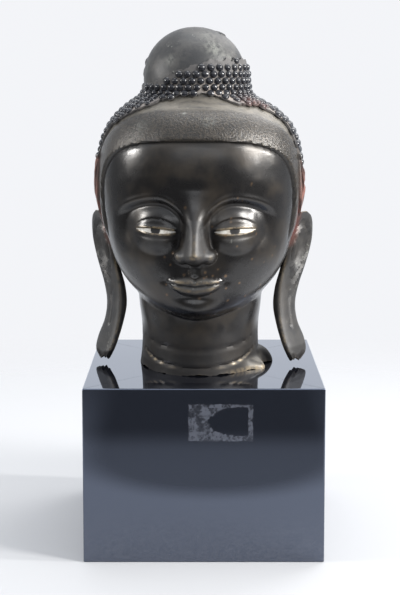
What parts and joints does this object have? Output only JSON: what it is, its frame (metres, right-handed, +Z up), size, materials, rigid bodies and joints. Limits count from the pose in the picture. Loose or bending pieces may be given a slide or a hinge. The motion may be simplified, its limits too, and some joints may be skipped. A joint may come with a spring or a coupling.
{
  "type": "buddha head",
  "caption": "Cast bronze Buddha head with long ears, inlaid eyes, a plain hair band and partly lost lacquer curls, standing on a square polished black plinth.",
  "frame": {"origin": "centre of the plinth's underside", "axes": "+Z up, the face looks along -Y, +X is to the right of someone who faces it"},
  "size_m": [0.2017, 0.2, 0.444],
  "materials": {
    "bronze": "dark brown-black patinated bronze, worn and glossy on the face, dull grey on the dome",
    "lacquer": "dark glossy lacquer moulded into small curls, with red-brown traces",
    "shell": "off-white shell inlay with a dark iris",
    "polished_black": "mirror-polished black"
  },
  "bodies": {
    "root": {"head": "bronze", "hair_curls": "lacquer", "eye_inlay_left": "shell", "eye_inlay_right": "shell", "plinth": "polished_black"}
  },
  "joints": []
}
